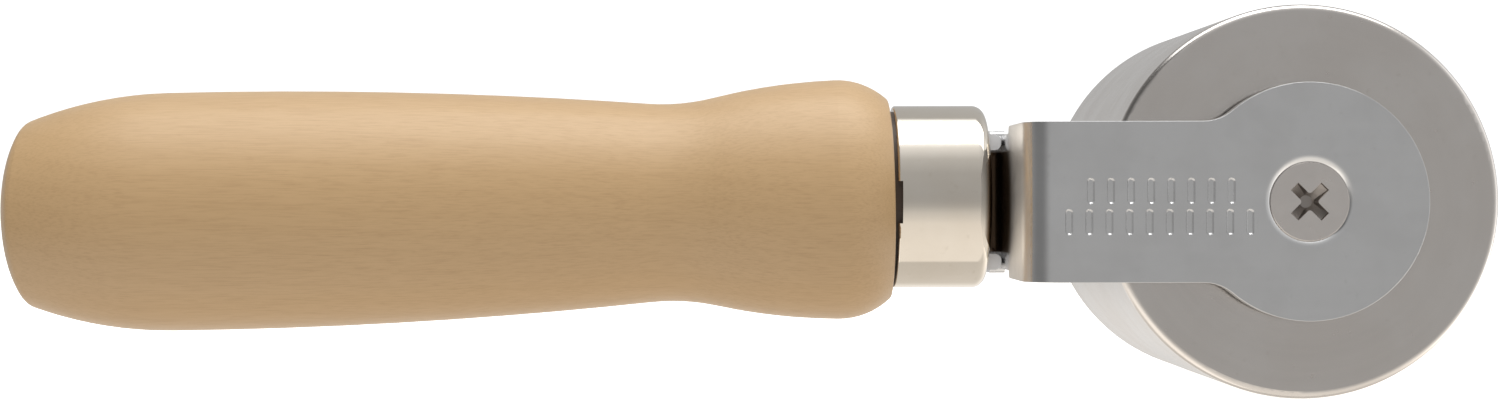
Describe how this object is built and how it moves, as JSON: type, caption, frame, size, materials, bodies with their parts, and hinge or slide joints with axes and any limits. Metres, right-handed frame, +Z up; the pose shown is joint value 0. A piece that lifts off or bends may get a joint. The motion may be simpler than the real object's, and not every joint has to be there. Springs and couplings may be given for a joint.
{
  "type": "seam roller",
  "caption": "Seam roller: a smooth steel roller on ball bearings, held at both ends by a stamped steel fork set in a turned wooden handle with a plated ferrule.",
  "frame": {"origin": "centre of the roller, on its axle's axis midway between the fork arms", "axes": "+X from the handle towards the roller, +Y along the axle, +Z up"},
  "size_m": [0.1986, 0.0586, 0.0508],
  "materials": {
    "varnished_wood": "clear satin varnish over pale hardwood with fine lengthwise grain",
    "polished_nickel": "bright nickel plate, warm grey",
    "fork_plating": "smooth satin plate on stamped sheet",
    "roller_steel": "fine-turned bare steel",
    "screw_steel": "plain bright steel",
    "hidden_steel": "plain machined steel",
    "bearing_steel": "ground and polished bearing steel",
    "bearing_shield": "pressed thin steel",
    "cage_plastic": "moulded nylon"
  },
  "bodies": {
    "frame": {"handle": "varnished_wood", "ferrule": "polished_nickel", "tang_pin": "hidden_steel", "near_fork_half": "fork_plating", "far_fork_half": "fork_plating", "axle": "hidden_steel", "axle_screws": "screw_steel", "race_spacer": "hidden_steel", "near_end_spacer": "hidden_steel", "far_end_spacer": "hidden_steel", "near_inner_race": "bearing_steel", "far_inner_race": "bearing_steel"},
    "roller": {"roller": "roller_steel", "near_outer_race": "bearing_steel", "near_shields": "bearing_shield", "far_outer_race": "bearing_steel", "far_shields": "bearing_shield"},
    "near_ball_set": {"near_balls": "bearing_steel", "near_ball_cage": "cage_plastic"},
    "far_ball_set": {"far_balls": "bearing_steel", "far_ball_cage": "cage_plastic"}
  },
  "joints": [
    {"name": "roller_spin", "type": "hinge", "parent": "frame", "child": "roller", "pos_m": [0, 0, 0], "axis": [0, 1, 0], "continuous": true},
    {"name": "near_ball_set_spin", "type": "hinge", "parent": "frame", "child": "near_ball_set", "pos_m": [0, -0.0209, 0], "axis": [0, 1, 0], "continuous": true},
    {"name": "far_ball_set_spin", "type": "hinge", "parent": "frame", "child": "far_ball_set", "pos_m": [0, 0.0209, 0], "axis": [0, 1, 0], "continuous": true}
  ],
  "couplings": [
    {"joint": "near_ball_set_spin", "follows": "roller_spin", "ratio": 0.6323},
    {"joint": "far_ball_set_spin", "follows": "roller_spin", "ratio": 0.6323}
  ]
}
